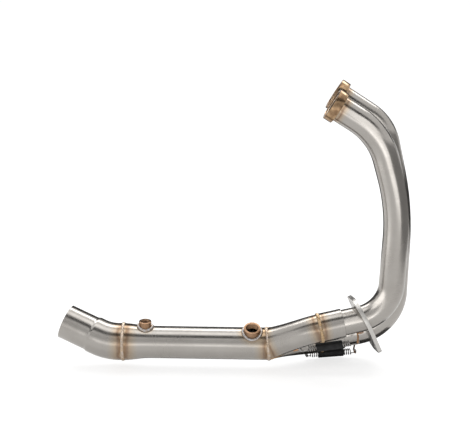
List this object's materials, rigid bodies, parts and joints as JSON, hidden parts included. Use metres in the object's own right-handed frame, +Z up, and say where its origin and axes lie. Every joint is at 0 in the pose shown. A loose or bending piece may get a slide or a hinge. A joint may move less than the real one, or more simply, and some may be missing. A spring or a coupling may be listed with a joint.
{
  "type": "motorcycle decat pipe",
  "caption": "Stainless exhaust link pipe: paired header pipes with port collars and a loose flange, slip-jointed into a merging collector with spring ties, threaded bosses and a stepped outlet",
  "frame": {"origin": "midway between the centres of the two port collar faces", "axes": "+X to the front of the motorcycle, +Y to the side away from the viewer in the picture, +Z up"},
  "size_m": [0.5232, 0.1286, 0.4271],
  "materials": {
    "satin_steel": "satin stainless tube",
    "plate_steel": "pale satin stainless plate",
    "tinted_steel": "stainless with a straw and gold heat tint",
    "boss_steel": "turned steel with a copper-brown heat tint",
    "weld_bead": "weld bead, pale bronze",
    "spring_wire": "bright drawn wire",
    "black_sleeve": "matte black"
  },
  "bodies": {
    "root": {"port_collar_near": "tinted_steel", "port_collar_far": "tinted_steel", "header_pipe_near": "satin_steel", "header_pipe_far": "satin_steel", "collector_socket_near": "satin_steel", "collector_socket_far": "satin_steel", "socket_weld_near": "weld_bead", "socket_weld_far": "weld_bead", "collector_branch_near": "satin_steel", "collector_branch_far": "satin_steel", "header_hook_near": "tinted_steel", "header_hook_far": "tinted_steel", "collector_hook_near": "spring_wire", "collector_hook_far": "spring_wire", "spring_near": "spring_wire", "spring_far": "spring_wire", "spring_sleeve_near": "black_sleeve", "spring_sleeve_far": "black_sleeve", "twin_port_flange": "plate_steel", "merge_weld": "weld_bead", "mid_pipe": "satin_steel", "lambda_boss": "boss_steel", "lambda_boss_weld": "weld_bead", "test_port_boss": "boss_steel", "test_port_weld": "weld_bead", "outlet_weld": "weld_bead", "outlet_bend": "satin_steel"}
  },
  "joints": []
}
